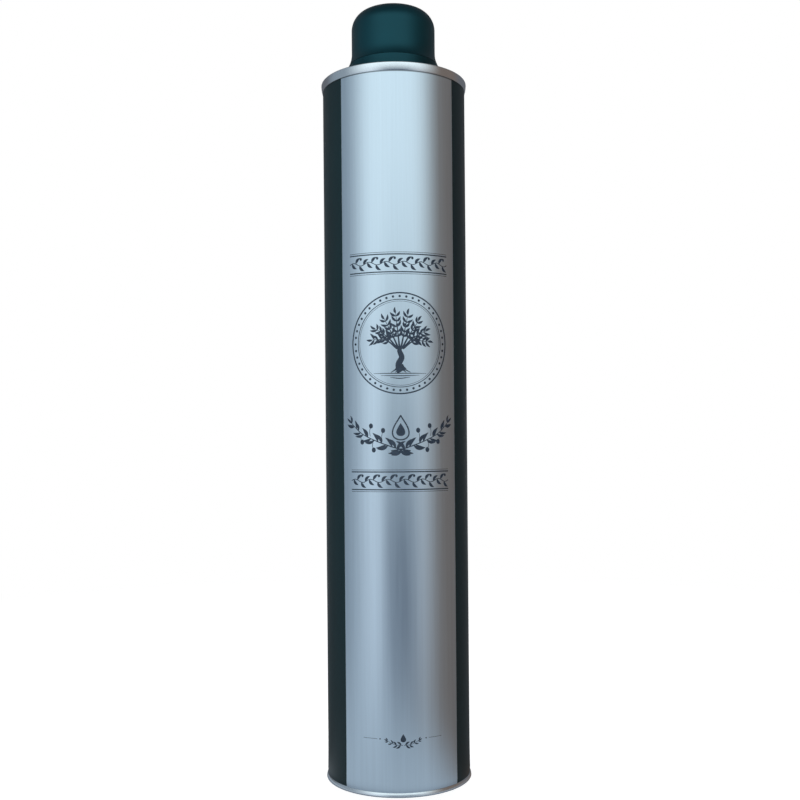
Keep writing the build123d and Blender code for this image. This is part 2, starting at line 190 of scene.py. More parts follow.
# The wall's waves: strength, waves round the tin, turn in radians over its height, and start
WAVES = ((1.0, 5, 9, 0.0), (0.7, 11, -14, 1.7), (0.5, 19, 5, 0.6), (0.6, 3, 31, 2.9))
WAVE_DEPTH, WAVE_FADE, WAVE_REST = 0.004 * MM, 12 * MM, 0.3
WELD_RISE, WELD_WIDTH, WELD_FADE = 0.06 * MM, 0.32 * MM, 0.8 * MM


def unit(ways):
    """Directions of length one."""
    return ways / np.linalg.norm(ways, axis=-1, keepdims=True)


def left_of(ways):
    """Directions turned a quarter to the left."""
    return np.stack([-ways[..., 1], ways[..., 0]], -1)


def arc_corner(before, corner, after, fold):
    """Points and left-hand normals of the arc that rounds one corner. The arc touches both runs at
    the fold radius times the tangent of half the turn from the corner; its normals turn evenly."""
    way_in, way_out = unit(corner - before), unit(after - corner)
    turn = math.atan2(way_in[0] * way_out[1] - way_in[1] * way_out[0], way_in @ way_out)
    side = 1.0 if turn >= 0 else -1.0
    left = left_of(way_in)
    centre = corner - way_in * fold * abs(math.tan(turn / 2)) + left * fold * side
    angles = math.atan2(left[1], left[0]) + np.linspace(0, turn, FOLD_STEPS)
    normals = np.stack([np.cos(angles), np.sin(angles)], 1)
    return centre - normals * fold * side, normals


def bent_line(points, folds):
    """A line through points with rounded corners: (points, left-hand normals), ends included."""
    points = np.asarray(points, float)
    lefts = left_of(unit(np.diff(points, axis=0)))
    arcs = [arc_corner(*points[i : i + 3], fold) for i, fold in enumerate(folds)]
    arcs = [(points[:1], lefts[:1]), *arcs, (points[-1:], lefts[-1:])]
    return [np.concatenate(part) for part in zip(*arcs)]


def stretched(places, normals, longest):
    """Adds even steps to the runs that are longer than a given length, with blended normals."""
    gaps = np.linalg.norm(np.diff(places, axis=0), axis=1)
    counts = np.maximum(1, np.ceil(gaps / longest)).astype(int)
    starts = np.repeat(np.arange(len(gaps)), counts)
    firsts = np.cumsum(counts) - counts
    t = ((np.arange(len(starts)) - firsts[starts]) / counts[starts])[:, None]
    both = (places, normals)
    return [np.concatenate([a[starts] * (1 - t) + a[starts + 1] * t, a[-1:]]) for a in both]


def sheet_section(points, folds, plate, longest, open_at_axis=False):
    """The section of a bent sheet: its middle line moved half a plate to each side. A sheet that
    ends on the axis gives an open outline whose two ends lie on the axis."""
    places, normals = stretched(*bent_line(points, folds), longest)
    left = places + normals * plate / 2
    right = places - normals * plate / 2
    if open_at_axis:
        return np.concatenate([left[::-1], right])
    return np.concatenate([left, right[::-1]])


def turned_faces(rows, around, closed):
    """Vertex numbers of the quads between rings: ring i, step j joins ring i+1 and step j+1."""
    i = np.arange(rows if closed else rows - 1)[:, None] * around
    j = np.arange(around)[None, :]
    i_next, j_next = (i + around) % (rows * around), (j + 1) % around
    return np.stack([i + j, i + j_next, i_next + j_next, i_next + j], -1).reshape(-1, 4)


def about_axis(radius, turn, height):
    """Points from radius, turn and height: x = r sin a, y = -r cos a."""
    x, y = radius * np.sin(turn), -radius * np.cos(turn)
    return np.stack(np.broadcast_arrays(x, y, height), -1)


def all_round(steps):
    """Even turns about the axis."""
    return np.linspace(0, 2 * np.pi, steps, endpoint=False)


def fan(middle, start, around):
    """Triangles from a middle vertex to the steps of a ring whose vertices start at a number."""
    j = np.arange(around)
    return np.stack([np.full(around, middle), start + j, start + (j + 1) % around], 1)


def turned(outline, around, closed=True, wave=None):
    """Turns an outline of radius and height about the axis. An open outline starts and ends on the
    axis, and its two poles are single points joined by triangles."""
    rings = outline if closed else outline[1:-1]
    turn, radius, height = all_round(around), rings[:, :1], rings[:, 1:]
    if wave is not None:
        radius = radius + wave(turn, height)
    points = about_axis(radius, turn, height).reshape(-1, 3)
    faces = turned_faces(len(rings), around, closed).tolist()
    if not closed:
        pole, end = len(points), (len(rings) - 1) * around
        points = np.concatenate([points, [[0, 0, outline[0, 1]], [0, 0, outline[-1, 1]]]])
        faces += fan(pole, 0, around)[:, [0, 2, 1]].tolist() + fan(pole + 1, end, around).tolist()
    return points, faces


def volume(points, faces):
    """Signed volume in a mesh of quads and triangles, from fans of tetrahedra at the origin."""
    total = 0.0
    for sides in (3, 4):
        corners = np.array([f for f in faces if len(f) == sides], int).reshape(-1, sides)
        for k in range(1, sides - 1):
            a, b, c = points[corners[:, 0]], points[corners[:, k]], points[corners[:, k + 1]]
            total += np.einsum("ij,ij->i", a, np.cross(b, c)).sum() / 6
    return total


def new_object(name, points, faces, material):
    """A mesh object in the scene, with its material."""
    mesh = bpy.data.meshes.new(name)
    mesh.from_pydata(points, [], faces)
    mesh.materials.append(material)
    made = bpy.data.objects.new(name, mesh)
    bpy.context.scene.collection.objects.link(made)
    return made


def piece(name, points, faces, body, slot, replaced=(), kind=None):
    """A finished piece: outward faces, smooth but for sharp edges, its finish and its body."""
    if volume(points, faces) < 0:
        faces = [face[::-1] for face in faces]
    made = new_object(name, points, faces, finish(kind or slot))
    mesh = made.data
    mesh.validate()
    mesh.polygons.foreach_set("use_smooth", np.ones(len(mesh.polygons), bool))
    mesh.set_sharp_from_angle(angle=SHARP_EDGE)
    mesh.update()
    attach(made, body)
    if replaced:
        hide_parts(*replaced)


def wall_wave(turn, height):
    """The rolled wall's own unevenness as a sum of slow waves that fade at both seams, and its
    flare at the foot, by the square of the way down to the seam."""
    tin = bpy.context.scene.oil_tin
    from_end = np.minimum(height, tin.height - height)
    fade = np.clip(from_end / WAVE_FADE - WAVE_REST, 0, 1)
    waves = sum(
        strength * np.sin(times * turn + twist * height / tin.height + start)
        for strength, times, twist, start in WAVES
    )
    down = np.clip((tin.flare_height - height) / (tin.flare_height - tin.bottom_seam), 0, 1)
    settled = np.clip(height / tin.bottom_seam - 1, 0, 1)
    return waves * fade * WAVE_DEPTH + tin.foot_flare * down**2 * settled


def ridged_wave(turn, height):
    """The wall's waves, plus the weld: a narrow bell-shaped ridge at the back between the seams."""
    tin = bpy.context.scene.oil_tin
    off = (turn - np.pi) * tin.body_radius / WELD_WIDTH
    bottom = tin.bottom_seam + tin.weld_gap
    top = tin.height - tin.top_seam - tin.weld_gap
    inside = np.clip(np.minimum(height - bottom, top - height) / WELD_FADE, 0, 1)
    return wall_wave(turn, height) + WELD_RISE * np.exp(-(off**2)) * inside


# Materials

# The span of nearly all of a noise's values, and the wall's roughness
NOISE_SPAN, SATIN = (0.3, 0.7), (0.3, 0.36)

# How far the wall's grain is drawn out upwards, and half the width of a print's soft edge
GRAIN_DRAWN, SOFT_EDGE = 0.02, 0.12 * MM

# By slot: colour, least and most roughness, the skin's scale and strength, gloss, and pearl
MOULDED = {
    "green_plastic": ("green", 0.31, 0.39, 1500, 0.15, 0.25, 0.55),
    "pourer_plastic": ("pourer", 0.34, 0.42, 1200, 0.15, 0.5, 0.0),
    "seam_compound": ("compound", 0.6, 0.75, 800, 0.3, 0.5, 0.0),
    "gasket_rubber": ("gasket", 0.55, 0.7, 900, 0.3, 0.5, 0.0),
    "liner_foam": ("foam", 0.6, 0.75, 700, 0.4, 0.5, 0.0),
}


def new_material(name):
    """A node material: (material, tree, its shader)."""
    material = bpy.data.materials.new(name)
    material.use_nodes = True
    return material, material.node_tree, material.node_tree.nodes["Principled BSDF"]


def feed(tree, socket, value):
    """Links another node's output to an input, or sets the input's own value."""
    if isinstance(value, NodeSocket):
        tree.links.new(value, socket)
    elif socket.type == "RGBA":
        socket.default_value = (*value, 1)
    else:
        socket.default_value = value


def node(tree, kind, inputs, **settings):
    """The outputs of a node with its settings and inputs, which are values or other outputs."""
    made = tree.nodes.new("ShaderNode" + kind)
    for key, value in settings.items():
        setattr(made, key, value)
    for key, value in inputs.items():
        feed(tree, made.inputs[key], value)
    return made.outputs


def maths(tree, operation, first, second=0.0):
    """The output of a maths node."""
    return node(tree, "Math", {0: first, 1: second}, operation=operation)[0]


def times(tree, first, second):
    """Two values multiplied."""
    return maths(tree, "MULTIPLY", first, second)


def rest_of(tree, value):
    """What is left of one."""
    return maths(tree, "SUBTRACT", 1.0, value)


def ramped(tree, value, low, high, to_low=0.0, to_high=1.0, interpolation="SMOOTHSTEP"):
    """A value taken from one range to another, with soft ends."""
    inputs = dict(zip(range(5), (value, low, high, to_low, to_high)))
    return node(tree, "MapRange", inputs, interpolation_type=interpolation)["Result"]


def mixed(tree, factor, first, second):
    """Two colours mixed by a factor."""
    return node(tree, "Mix", {0: factor, 6: first, 7: second}, data_type="RGBA")[2]


def clouded(tree, cloud, tint, least, span=NOISE_SPAN):
    """A colour that a noise takes between a share of itself and all of itself."""
    return mixed(tree, ramped(tree, cloud, *span), [c * least for c in tint], tint)


def noise(tree, vector, scale, detail=2.0, roughness=0.5):
    """Noise between nothing and one."""
    inputs = {"Vector": vector, "Scale": scale, "Detail": detail, "Roughness": roughness}
    return node(tree, "TexNoise", inputs)["Fac"]


def place(tree, scale=(1, 1, 1)):
    """Object coordinates, stretched by a mapping."""
    coordinates = node(tree, "TexCoord", {})["Object"]
    return node(tree, "Mapping", {"Vector": coordinates, "Scale": scale})[0]


def turn_and_height(tree):
    """The turn about the axis from the front, and the height."""
    parts = node(tree, "SeparateXYZ", {0: place(tree)})
    return maths(tree, "ARCTAN2", parts["X"], times(tree, parts["Y"], -1.0)), parts["Z"]


def distance(tree):
    """The distance from the middle of the tin's foot."""
    return node(tree, "VectorMath", {0: place(tree)}, operation="LENGTH")["Value"]


def bumped(tree, height, strength, deep):
    """A normal that follows a height."""
    return node(tree, "Bump", {"Height": height, "Strength": strength, "Distance": deep})["Normal"]


# What each finish below gives, in this order
SHADER_INPUTS = ("Base Color", "Roughness", "Metallic", "Specular IOR Level", "Normal")


def printed_tinplate(tree):
    """Varnished tinplate with a silver panel, dark green lacquer round it, a bare weld strip, and a
    painted shade line: the wall darkened just under the upper seam, where the seam's overhang
    shades it."""
    scene = bpy.context.scene
    tin, prints, colours = scene.oil_tin, scene.oil_tin_print, scene.oil_tin_colours
    turn, up = turn_and_height(tree)
    soft, bare = SOFT_EDGE / tin.body_radius, prints.weld_margin / tin.body_radius

    from_panel = maths(tree, "ABSOLUTE", maths(tree, "SUBTRACT", turn, prints.panel_turn))
    from_back = maths(tree, "SUBTRACT", math.pi, maths(tree, "ABSOLUTE", turn))
    half = prints.panel_half
    silver_mask = ramped(tree, from_panel, half - soft, half + soft, 1.0, 0.0)
    weld_mask = ramped(tree, from_back, bare - soft, bare + soft, 1.0, 0.0)
    heat_mask = ramped(tree, from_back, 0.2 * bare, 0.6 * bare, 1.0, 0.0)
    metal_mask = maths(tree, "MAXIMUM", silver_mask, weld_mask)

    rolled = {"X": times(tree, turn, tin.body_radius), "Z": times(tree, up, GRAIN_DRAWN)}
    along = node(tree, "CombineXYZ", rolled)[0]
    streaks = noise(tree, along, scale=900, detail=3, roughness=0.6)
    broad = noise(tree, along, scale=160)
    cloud = noise(tree, place(tree), scale=35, detail=3)
    fine = noise(tree, place(tree), scale=1400)
    tone = maths(tree, "ADD", times(tree, streaks, 0.6), times(tree, broad, 0.4))

    silver = clouded(tree, tone, colours.silver, 0.93)
    heated = mixed(tree, heat_mask, silver, colours.heated)
    metal = mixed(tree, weld_mask, silver, heated)
    lacquer = clouded(tree, cloud, colours.lacquer, 0.88)
    metal_rough = ramped(tree, tone, 0.25, 0.75, *SATIN)
    lacquer_rough = ramped(tree, cloud, *NOISE_SPAN, *SATIN)
    on_metal = times(tree, metal_rough, metal_mask)
    rough = maths(tree, "ADD", on_metal, times(tree, lacquer_rough, rest_of(tree, metal_mask)))

    # Painted shade: the wall's colour darkens towards black just under the upper seam, standing in
    # for the shadow of the seam's overhang.
    under_seam = maths(tree, "SUBTRACT", tin.height - tin.top_seam, up)
    line = prints.varnish_line
    painted_seam_shade = ramped(tree, under_seam, 0.4 * line, line, prints.varnish_depth, 0.0)
    base = mixed(tree, painted_seam_shade, mixed(tree, metal_mask, lacquer, metal), (0, 0, 0))
    height = maths(tree, "ADD", times(tree, fine, 0.35), times(tree, streaks, 0.65))
    return base, rough, metal_mask, 0.25, bumped(tree, height, strength=0.12, deep=0.02 * MM)


def end_tinplate(tree):
    """Tinplate with a fine matt grain and a few faint scuffs."""
    tint = bpy.context.scene.oil_tin_colours.tinplate
    grain = noise(tree, place(tree, (1, 12, 1)), scale=700, detail=3, roughness=0.6)
    scuffs = noise(tree, place(tree, (1, 1, 3)), scale=90, detail=4, roughness=0.65)
    base = clouded(tree, grain, tint, 0.96, (0.35, 0.65))
    rough = ramped(tree, scuffs, 0.3, 0.75, 0.16, 0.24)
    return base, rough, 1.0, 0.5, bumped(tree, grain, strength=0.06, deep=0.02 * MM)


def printing_ink(tree):
    """Slate-blue ink, thinner in places so that it is not quite even."""
    ink = bpy.context.scene.oil_tin_colours.ink
    cover = noise(tree, place(tree), scale=1800, detail=3, roughness=0.6)
    base = mixed(tree, ramped(tree, cover, 0.35, 0.7), ink, [c * 1.5 for c in ink])
    return base, ramped(tree, cover, *NOISE_SPAN, 0.42, 0.52), 0.0


def moulded(tree, tint_name, smoothest, roughest, skin_scale, strength, gloss, pearl):
    """A moulded or soft finish: a clouded tone, uneven gloss, a fine skin and a share of pearl."""
    tint = getattr(bpy.context.scene.oil_tin_colours, tint_name)
    cloud = noise(tree, place(tree), scale=60, detail=3)
    skin = noise(tree, place(tree), scale=skin_scale, detail=3, roughness=0.55)
    rough = ramped(tree, cloud, *NOISE_SPAN, smoothest, roughest)
    skin = bumped(tree, skin, strength, deep=0.03 * MM)
    return clouded(tree, cloud, tint, 0.9), rough, pearl, gloss, skin


SHEET_FINISHES = {f.__name__: f for f in (printed_tinplate, end_tinplate, printing_ink)}


def finish(kind):
    """The finish of a kind, made once and then found again by its name."""
    name = kind + "_finish"
    if name in bpy.data.materials:
        return bpy.data.materials[name]
    material, tree, shader = new_material(name)
    is_sheet = kind in SHEET_FINISHES
    values = SHEET_FINISHES[kind](tree) if is_sheet else moulded(tree, *MOULDED[kind])
    for key, value in zip(SHADER_INPUTS, values):
        feed(tree, shader.inputs[key], value)
    return material


# Print motifs, in millimetres on the unrolled wall: across from the panel's middle, and up

LEAF_TIP, DROP_TIP, DOT_TIP = 0.03, 0.015, 0.01
LEAF_STEPS, DOT_STEPS, DROP_STEPS, OUTLINE_STEPS = 9, 11, 19, 71
CIRCLE_STEPS, CURVE_STEPS, STEM_STEPS, RULE_STEP = 97, 14, 40, 0.8
TREE_SEED = 7


def line_of(across, up):
    """The points of a line from their places across and up; either can be one number."""
    return np.stack(np.broadcast_arrays(across, up), 1).astype(float)


def stroke(points, half_widths):
    """One stroke: its middle line and its half width along the line."""
    points = np.asarray(points, float)
    return points, np.broadcast_to(np.asarray(half_widths, float), (len(points),)).copy()


def curve(controls, samples=CURVE_STEPS):
    """A smooth line through control points: a cubic spline of the points against their number."""
    controls = np.asarray(controls, float)
    t = np.linspace(0, len(controls) - 1, samples)
    i = np.clip(t.astype(int), 0, len(controls) - 2)
    f = (t - i)[:, None]
    before, after = 2 * controls[:1] - controls[1:2], 2 * controls[-1:] - controls[-2:-1]
    padded = np.concatenate([before, controls, after])
    a, b, c, d = (padded[i + k] for k in range(4))
    square, cube = 2 * a - 5 * b + 4 * c - d, 3 * b - a - 3 * c + d
    return 0.5 * (2 * b + (c - a) * f + square * f**2 + cube * f**3)


def headings(line):
    """The direction of a line at each of its points, as an angle."""
    ways = np.gradient(line, axis=0)
    return np.arctan2(ways[:, 1], ways[:, 0])


def leaf(x, y, way, long, wide, bend=0.12):
    """A filled leaf: a bent midrib whose half width grows and falls as a skewed sine."""
    t = np.linspace(0, 1, LEAF_STEPS)
    along = line_of(long * t, bend * long * np.sin(np.pi * t))
    c, s = math.cos(way), math.sin(way)
    points = along @ np.array([[c, s], [-s, c]]) + (x, y)
    return stroke(points, wide / 2 * np.sin(np.pi * t**0.85) + LEAF_TIP)


def dot(x, y, radius, tall=1.0):
    """A filled round or oval spot: a level line whose half width is the circle's."""
    t = np.cos(np.linspace(np.pi, 0, DOT_STEPS))
    return stroke(line_of(x + radius * t, y), radius * tall * np.sqrt(1 - t**2) + DOT_TIP)


def circle(x, y, radius, half_width):
    """A ring drawn as one closed stroke."""
    t = np.linspace(0, 2 * np.pi, CIRCLE_STEPS)
    return stroke(line_of(x + radius * np.cos(t), y + radius * np.sin(t)), half_width)


def drop_shape(tall, wide, turn):
    """Half width and height of a drop: sine of the turn times a power of the sine of half of it,
    so that it is round below and runs to a point above."""
    widest = 0.702
    half = wide / 2 * np.sin(turn) * abs(np.sin(turn / 2)) ** 1.5 / widest
    return half, tall / 2 * np.cos(turn)


def oil_drop(x, y, tall, wide):
    """A filled drop: an upright line with the drop's half width."""
    half, up = drop_shape(tall, wide, np.linspace(np.pi, 0, DROP_STEPS))
    return stroke(line_of(x, y + up), half + DROP_TIP)


def drop_outline(x, y, tall, wide, half_width):
    """The outline of a drop as one closed stroke."""
    gap = 0.05
    half, up = drop_shape(tall, wide, np.linspace(gap, 2 * np.pi - gap, OUTLINE_STEPS))
    return stroke(line_of(x + half, y + up), half_width)


def rule(left, right, y, half_width):
    """A level line with steps short enough to follow the round wall."""
    count = int((right - left) / RULE_STEP) + 2
    return stroke(line_of(np.linspace(left, right, count), y), half_width)


def mirrored(strokes):
    """The strokes and their mirror images across the panel's middle."""
    return strokes + [(points * (-1, 1), half) for points, half in strokes]


def sprig(controls, pairs, long, wide, stem):
    """A stem with pairs of leaves, which leave it at a set angle and shrink to the tip."""
    line = curve(controls, STEM_STEPS)
    ways = headings(line)
    spread, bend, last = 0.62, 0.12, STEM_STEPS - 1
    strokes = [stroke(line, np.linspace(stem, stem * 0.45, STEM_STEPS))]
    for k, t in enumerate(np.linspace(0.12, 0.97, pairs)):
        i = int(t * last)
        size = 1 - 0.4 * t
        side = 1 if k % 2 == 0 else -1
        for at, turn in ((i, side), (min(i + 2, last), -side)):
            way = ways[i] + turn * spread
            strokes.append(leaf(*line[at], way, long * size, wide * size, bend * turn))
    return strokes + [leaf(*line[-1], ways[-1], long * 0.6, wide * 0.6, 0)]


def crossed_sprays(y):
    """Two olive sprays that cross below an oil drop and sweep up to the sides."""
    strokes = [drop_outline(0, y + 2.6, 8.6, 5.8, 0.24), oil_drop(0, y + 1.9, 4.6, 3.1)]
    stem = [(-3.4, y - 5.6), (1.6, y - 4.6), (8.4, y - 2.2), (14.2, y + 0.6), (18.4, y + 4.2)]
    spray = sprig(stem, 10, 4.6, 1.25, 0.24)
    for x, up, drop in ((6.2, 1.6, -2.2), (10.6, 3.2, -0.4), (9.6, -5.2, -2.6), (14.0, -2.4, 0.0)):
        stalk = [(x, y + up), (x + 0.5, y + (up + drop) / 2), (x + 0.3, y + drop)]
        spray += [dot(x, y + up, 0.74, 1.2), stroke(curve(stalk, 8), 0.09)]
    return strokes + mirrored(spray)


def garland_border(y, reach):
    """A waving olive garland between a thick rule and a thin one above and below."""
    swing, wavelength, leaf_step = 0.55, 6.2, 1.55
    x = np.linspace(-reach, reach, 90)
    strokes = [stroke(line_of(x, y + swing * np.sin(2 * np.pi * x / wavelength)), 0.13)]
    for k, at in enumerate(np.arange(-reach + 1.0, reach - 0.6, leaf_step)):
        side = 1 if k % 2 else -1
        stem = y + swing * math.sin(2 * math.pi * at / wavelength)
        strokes += [leaf(at, stem, side * 0.8, 2.7, 0.95, 0.16 * side)]
        if k % 4 == 2:
            strokes += [dot(at + 0.5, y + 1.75, 0.42, 1.15)]
    for side in (-1, 1):
        for off, half in ((3.1, 0.2), (3.8, 0.08)):
            strokes += [rule(-reach, reach, y + side * off, half)]
    return strokes


def olive_tree(x, y, size):
    """A small olive tree: a solid twisted trunk on spread roots, branches, leaves and fruit."""
    seeded = np.random.default_rng(TREE_SEED)
    trunk = curve([(0.5, -9.8), (-0.5, -7.6), (0.5, -5.4), (-0.2, -3.2), (0.2, -1.6)], 24)
    girth = np.interp(np.linspace(0, 1, 24), [0, 0.25, 0.6, 1], [1.7, 1.0, 0.85, 0.6])
    strokes = [stroke(trunk, girth)]
    for foot, half in ((-3.0, 0.42), (-1.6, 0.5), (1.9, 0.5), (3.3, 0.38)):
        root = curve([(0.15 * foot, -7.6), (0.5 * foot, -9.2), (foot, -10.1)])
        strokes += [stroke(root, np.linspace(half, 0.08, CURVE_STEPS))]
    tips = [(-8.9, 0.4), (-7.8, 3.8), (-4.9, 6.8), (-1.3, 8.6)]
    tips += [(2.6, 8.2), (6.0, 6.2), (8.4, 3.0), (9.1, -0.3)]
    for tip_x, tip_y in tips:
        line = curve([(0.1 * tip_x, -2.6), (0.5 * tip_x, 0.28 * tip_y), (tip_x, tip_y)], 16)
        strokes += [stroke(line, np.linspace(0.32, 0.07, 16))]
        ways = headings(line)
        for k in range(6, 16, 2):
            for side in (-1, 1):
                turn = ways[k] + side * seeded.uniform(0.5, 0.95)
                strokes += [leaf(*line[k], turn, seeded.uniform(1.9, 2.6), 0.72, 0.1 * side)]
        strokes += [leaf(*line[-1], ways[14], 2.1, 0.7)]
        strokes += [dot(*(line[11] + seeded.uniform(-0.8, 0.8, 2)), 0.4, 1.15)]
    for k, (reach, drop) in enumerate(((8.6, 10.4), (6.2, 11.2), (3.2, 12.0))):
        line = curve([(-reach, -drop + 0.15 * k), (0, -drop), (reach, -drop + 0.2 * k)], 30)
        strokes += [stroke(line, 0.13 * np.sin(np.linspace(0.15, 3.0, 30)) + LEAF_TIP)]
    return [(points * size + (x, y), half * size) for points, half in strokes]


def medallion(y, radius):
    """Three rings, with beads between the outer two, round an olive tree."""
    rings = ((0.0, 0.24), (2.3, 0.13), (2.9, 0.06))
    strokes = [circle(0, y, radius - inset, half) for inset, half in rings]
    beads, middle = 44, radius - 1.18
    for turn in all_round(beads):
        strokes += [dot(middle * math.cos(turn), y + middle * math.sin(turn), 0.42)]
    return strokes + olive_tree(0, y + 0.9, (radius - 4.0) / 12.4)


def foot_ornament(y):
    """A drop over a short sprig to each side, with a fine line running on from its tip."""
    side = sprig([(0.2, y - 1.7), (2.8, y - 1.5), (5.6, y - 0.2)], 4, 2.0, 0.62, 0.1)
    side += [dot(8.2, y + 0.4, 0.24), rule(9.2, 14.4, y + 0.4, 0.06)]
    return [oil_drop(0, y + 0.8, 2.9, 1.9)] + mirrored(side)


def wrapped(strokes, proud, sunk):
    """Strokes as thin closed ribbons on the round wall. Each sample of a stroke gives a ring of six
    points, three over the wall and three in it, across the stroke; rings are joined along it and
    closed by a face at each end. Across becomes a turn about the axis, and up stays up."""
    tin = bpy.context.scene.oil_tin
    panel_turn = bpy.context.scene.oil_tin_print.panel_turn
    sides = np.array([-1, 0, 1, 1, 0, -1])
    lifts = np.array([proud] * 3 + [-sunk] * 3)
    points, faces, first = [], [], 0
    for line, half in strokes:
        across = left_of(unit(np.gradient(line, axis=0)))
        flat = (line[:, None] + across[:, None] * (half[:, None] * sides)[..., None]) * MM
        turn = panel_turn + flat[..., 0] / tin.body_radius
        radius = tin.body_radius + wall_wave(turn, flat[..., 1]) + lifts
        points.append(about_axis(radius, turn, flat[..., 1]).reshape(-1, 3))
        faces += (turned_faces(len(line), 6, False) + first).tolist()
        last = first + (len(line) - 1) * 6
        for start, order in ((first, 1), (last, -1)):
            for corners in ((0, 1, 4, 5), (1, 2, 3, 4)):
                faces.append([start + corner for corner in corners][::order])
        first += len(line) * 6
    return np.concatenate(points), faces


# Sheet-metal pieces


def seam_radii(tin):
    """Radii of the seam's layers on the middle of each sheet, and their folds."""
    body_mid = tin.body_radius - tin.body_plate / 2
    end_hook = tin.body_radius + tin.layer_gap + tin.end_plate / 2
    next_layer = tin.body_plate / 2 + tin.layer_gap + tin.end_plate / 2
    body_hook = end_hook + next_layer
    wall = body_hook + next_layer
    body_fold = (body_hook - body_mid) / 2 * tin.fold_share
    return SimpleNamespace(
        body=body_mid,
        end_hook=end_hook,
        body_hook=body_hook,
        wall=wall,
        chuck=tin.body_radius - tin.body_plate - tin.layer_gap - tin.end_plate / 2,
        body_fold=body_fold,
        end_fold=body_fold + next_layer,
        hook_fold=(wall - end_hook) / 2 * tin.fold_share,
    )


def end_seam(tin, seam):
    """The end's part of a seam and its chuck wall: radius and depth below the rim, and folds."""
    at = seam_radii(tin)
    half = tin.end_plate / 2
    groove_inner = at.chuck - tin.groove_width
    panel = tin.countersink - tin.panel_rise
    points = [
        (at.end_hook, seam - seam * tin.hook_share),
        (at.end_hook, seam - half),
        (at.wall, seam - half),
        (at.wall, half),
        (at.chuck, half),
        (at.chuck, tin.countersink + half),
        (groove_inner, tin.countersink + half),
        (groove_inner, panel + half),
    ]
    folds = [at.hook_fold] * 2 + [at.end_fold] * 2 + [tin.panel_rise / 2] * 2
    return points, folds + [tin.panel_rise * PANEL_FOLD], groove_inner, panel


def tapered(outline, tin):
    """Both seams drawn in from rim to edge, all their layers in proportion: by the square of the
    way from the rim, times the share of the seam's thickness that lies inside the point."""
    outline = outline.copy()
    thickness = seam_radii(tin).wall + tin.end_plate / 2 - tin.body_radius
    inside = np.clip((outline[:, 0] - tin.body_radius) / thickness, 0, 1)
    for rim, seam in ((tin.height, tin.top_seam), (0.0, tin.bottom_seam)):
        away = abs(outline[:, 1] - rim) / seam
        drawn = tin.seam_taper * inside * np.clip(away, 0, 1) ** 2
        outline[:, 0] -= np.where(away < 2, drawn, 0)
    return outline


def compound_voids(tin, seam):
    """The two voids of a seam: radius and depth at one corner, then at the opposite one."""
    at = seam_radii(tin)
    clear, body, end = tin.compound_gap, tin.body_plate, tin.end_plate
    flange, hook = end + tin.layer_gap, seam * tin.hook_share
    over_end_hook = (tin.body_radius + clear, flange + body + clear)
    over_end_hook += (at.body_hook - body / 2 - clear, seam - hook - end / 2 - clear)
    under_body_hook = (at.end_hook + end / 2 + clear, flange + hook + body / 2 + clear)
    under_body_hook += (at.wall - end / 2 - clear, seam - end - clear)
    return over_end_hook, under_body_hook


class OILTIN_OT_wall(Operator):
    """The rolled wall, flanged into both seams, with the low ridge of its weld at the back"""

    bl_idname = "oil_tin.wall"
    bl_label = "Printed wall"

    def execute(self, context):
        tin = context.scene.oil_tin
        at = seam_radii(tin)
        flange = tin.end_plate + tin.layer_gap
        bend = flange + tin.body_plate / 2
        bottom, top = (flange + seam * tin.hook_share for seam in (tin.bottom_seam, tin.top_seam))
        points = [
            (at.body_hook, bottom),
            (at.body_hook, bend),
            (at.body, bend),
            (at.body, tin.height - bend),
            (at.body_hook, tin.height - bend),
            (at.body_hook, tin.height - top),
        ]
        outline = sheet_section(points, [at.body_fold] * 4, tin.body_plate, WALL_STEP)
        shape = turned(tapered(outline, tin), tin.around, wave=ridged_wave)
        piece("tin_wall", *shape, "tin", "printed_tinplate", ["tin_body"])
        return {"FINISHED"}


class OILTIN_OT_top_end(Operator):
    """The top end, from its hook in the seam, over a stiffening bead, to the curl round its neck"""

    bl_idname = "oil_tin.top_end"
    bl_label = "Top end"

    def execute(self, context):
        tin = context.scene.oil_tin
        points, folds, groove_inner, panel_depth = end_seam(tin, tin.top_seam)
        collar = tin.neck_radius + tin.end_plate + tin.curl_width + COLLAR_ROOM
        panel = panel_depth + tin.end_plate / 2
        raised = panel - BEAD_RISE
        middle, run = (groove_inner + collar) / 2, (groove_inner - collar) / 6
        neck_mid = tin.neck_radius + tin.end_plate / 2
        neck = panel - tin.neck_height
        curl_mid = neck_mid + tin.curl_width
        for steps, depth in ((1.5, panel), (0.5, raised), (-0.5, raised), (-1.5, panel)):
            points.append((middle + steps * run, depth))
        points += [(neck_mid, panel), (neck_mid, neck)]
        points += [(curl_mid, neck), (curl_mid, neck + tin.curl_drop)]
        folds += [STEP_FOLD] * 4 + [NECK_FOLD] + [CURL_FOLD * tin.curl_width] * 2
        heights = [(radius, tin.height - depth) for radius, depth in points]
        outline = sheet_section(heights, folds, tin.end_plate, END_STEP)
        shape = turned(tapered(outline, tin), tin.around)
        piece("top_end_sheet", *shape, "tin", "end_tinplate", ["top_end"])
        return {"FINISHED"}


class OILTIN_OT_bottom_end(Operator):
    """The bottom end, with stepped rings that let it flex"""

    bl_idname = "oil_tin.bottom_end"
    bl_label = "Bottom end"

    def execute(self, context):
        tin = context.scene.oil_tin
        points, folds, groove_inner, panel_depth = end_seam(tin, tin.bottom_seam)
        depth = panel_depth + tin.end_plate / 2
        for reach in STEP_PLACES:
            radius = groove_inner * reach
            points += [(radius, depth), (radius - STEP_RUN, depth + STEP_RISE)]
            depth += STEP_RISE
            folds += [STEP_FOLD] * 2
        points.append((0.0, depth))
        outline = sheet_section(points, folds, tin.end_plate, END_STEP, open_at_axis=True)
        outline = tapered(outline, tin)
        outline[[0, -1], 0] = 0
        shape = turned(outline, tin.around, closed=False)
        piece("bottom_end_sheet", *shape, "tin", "end_tinplate", ["bottom_end"])
        return {"FINISHED"}


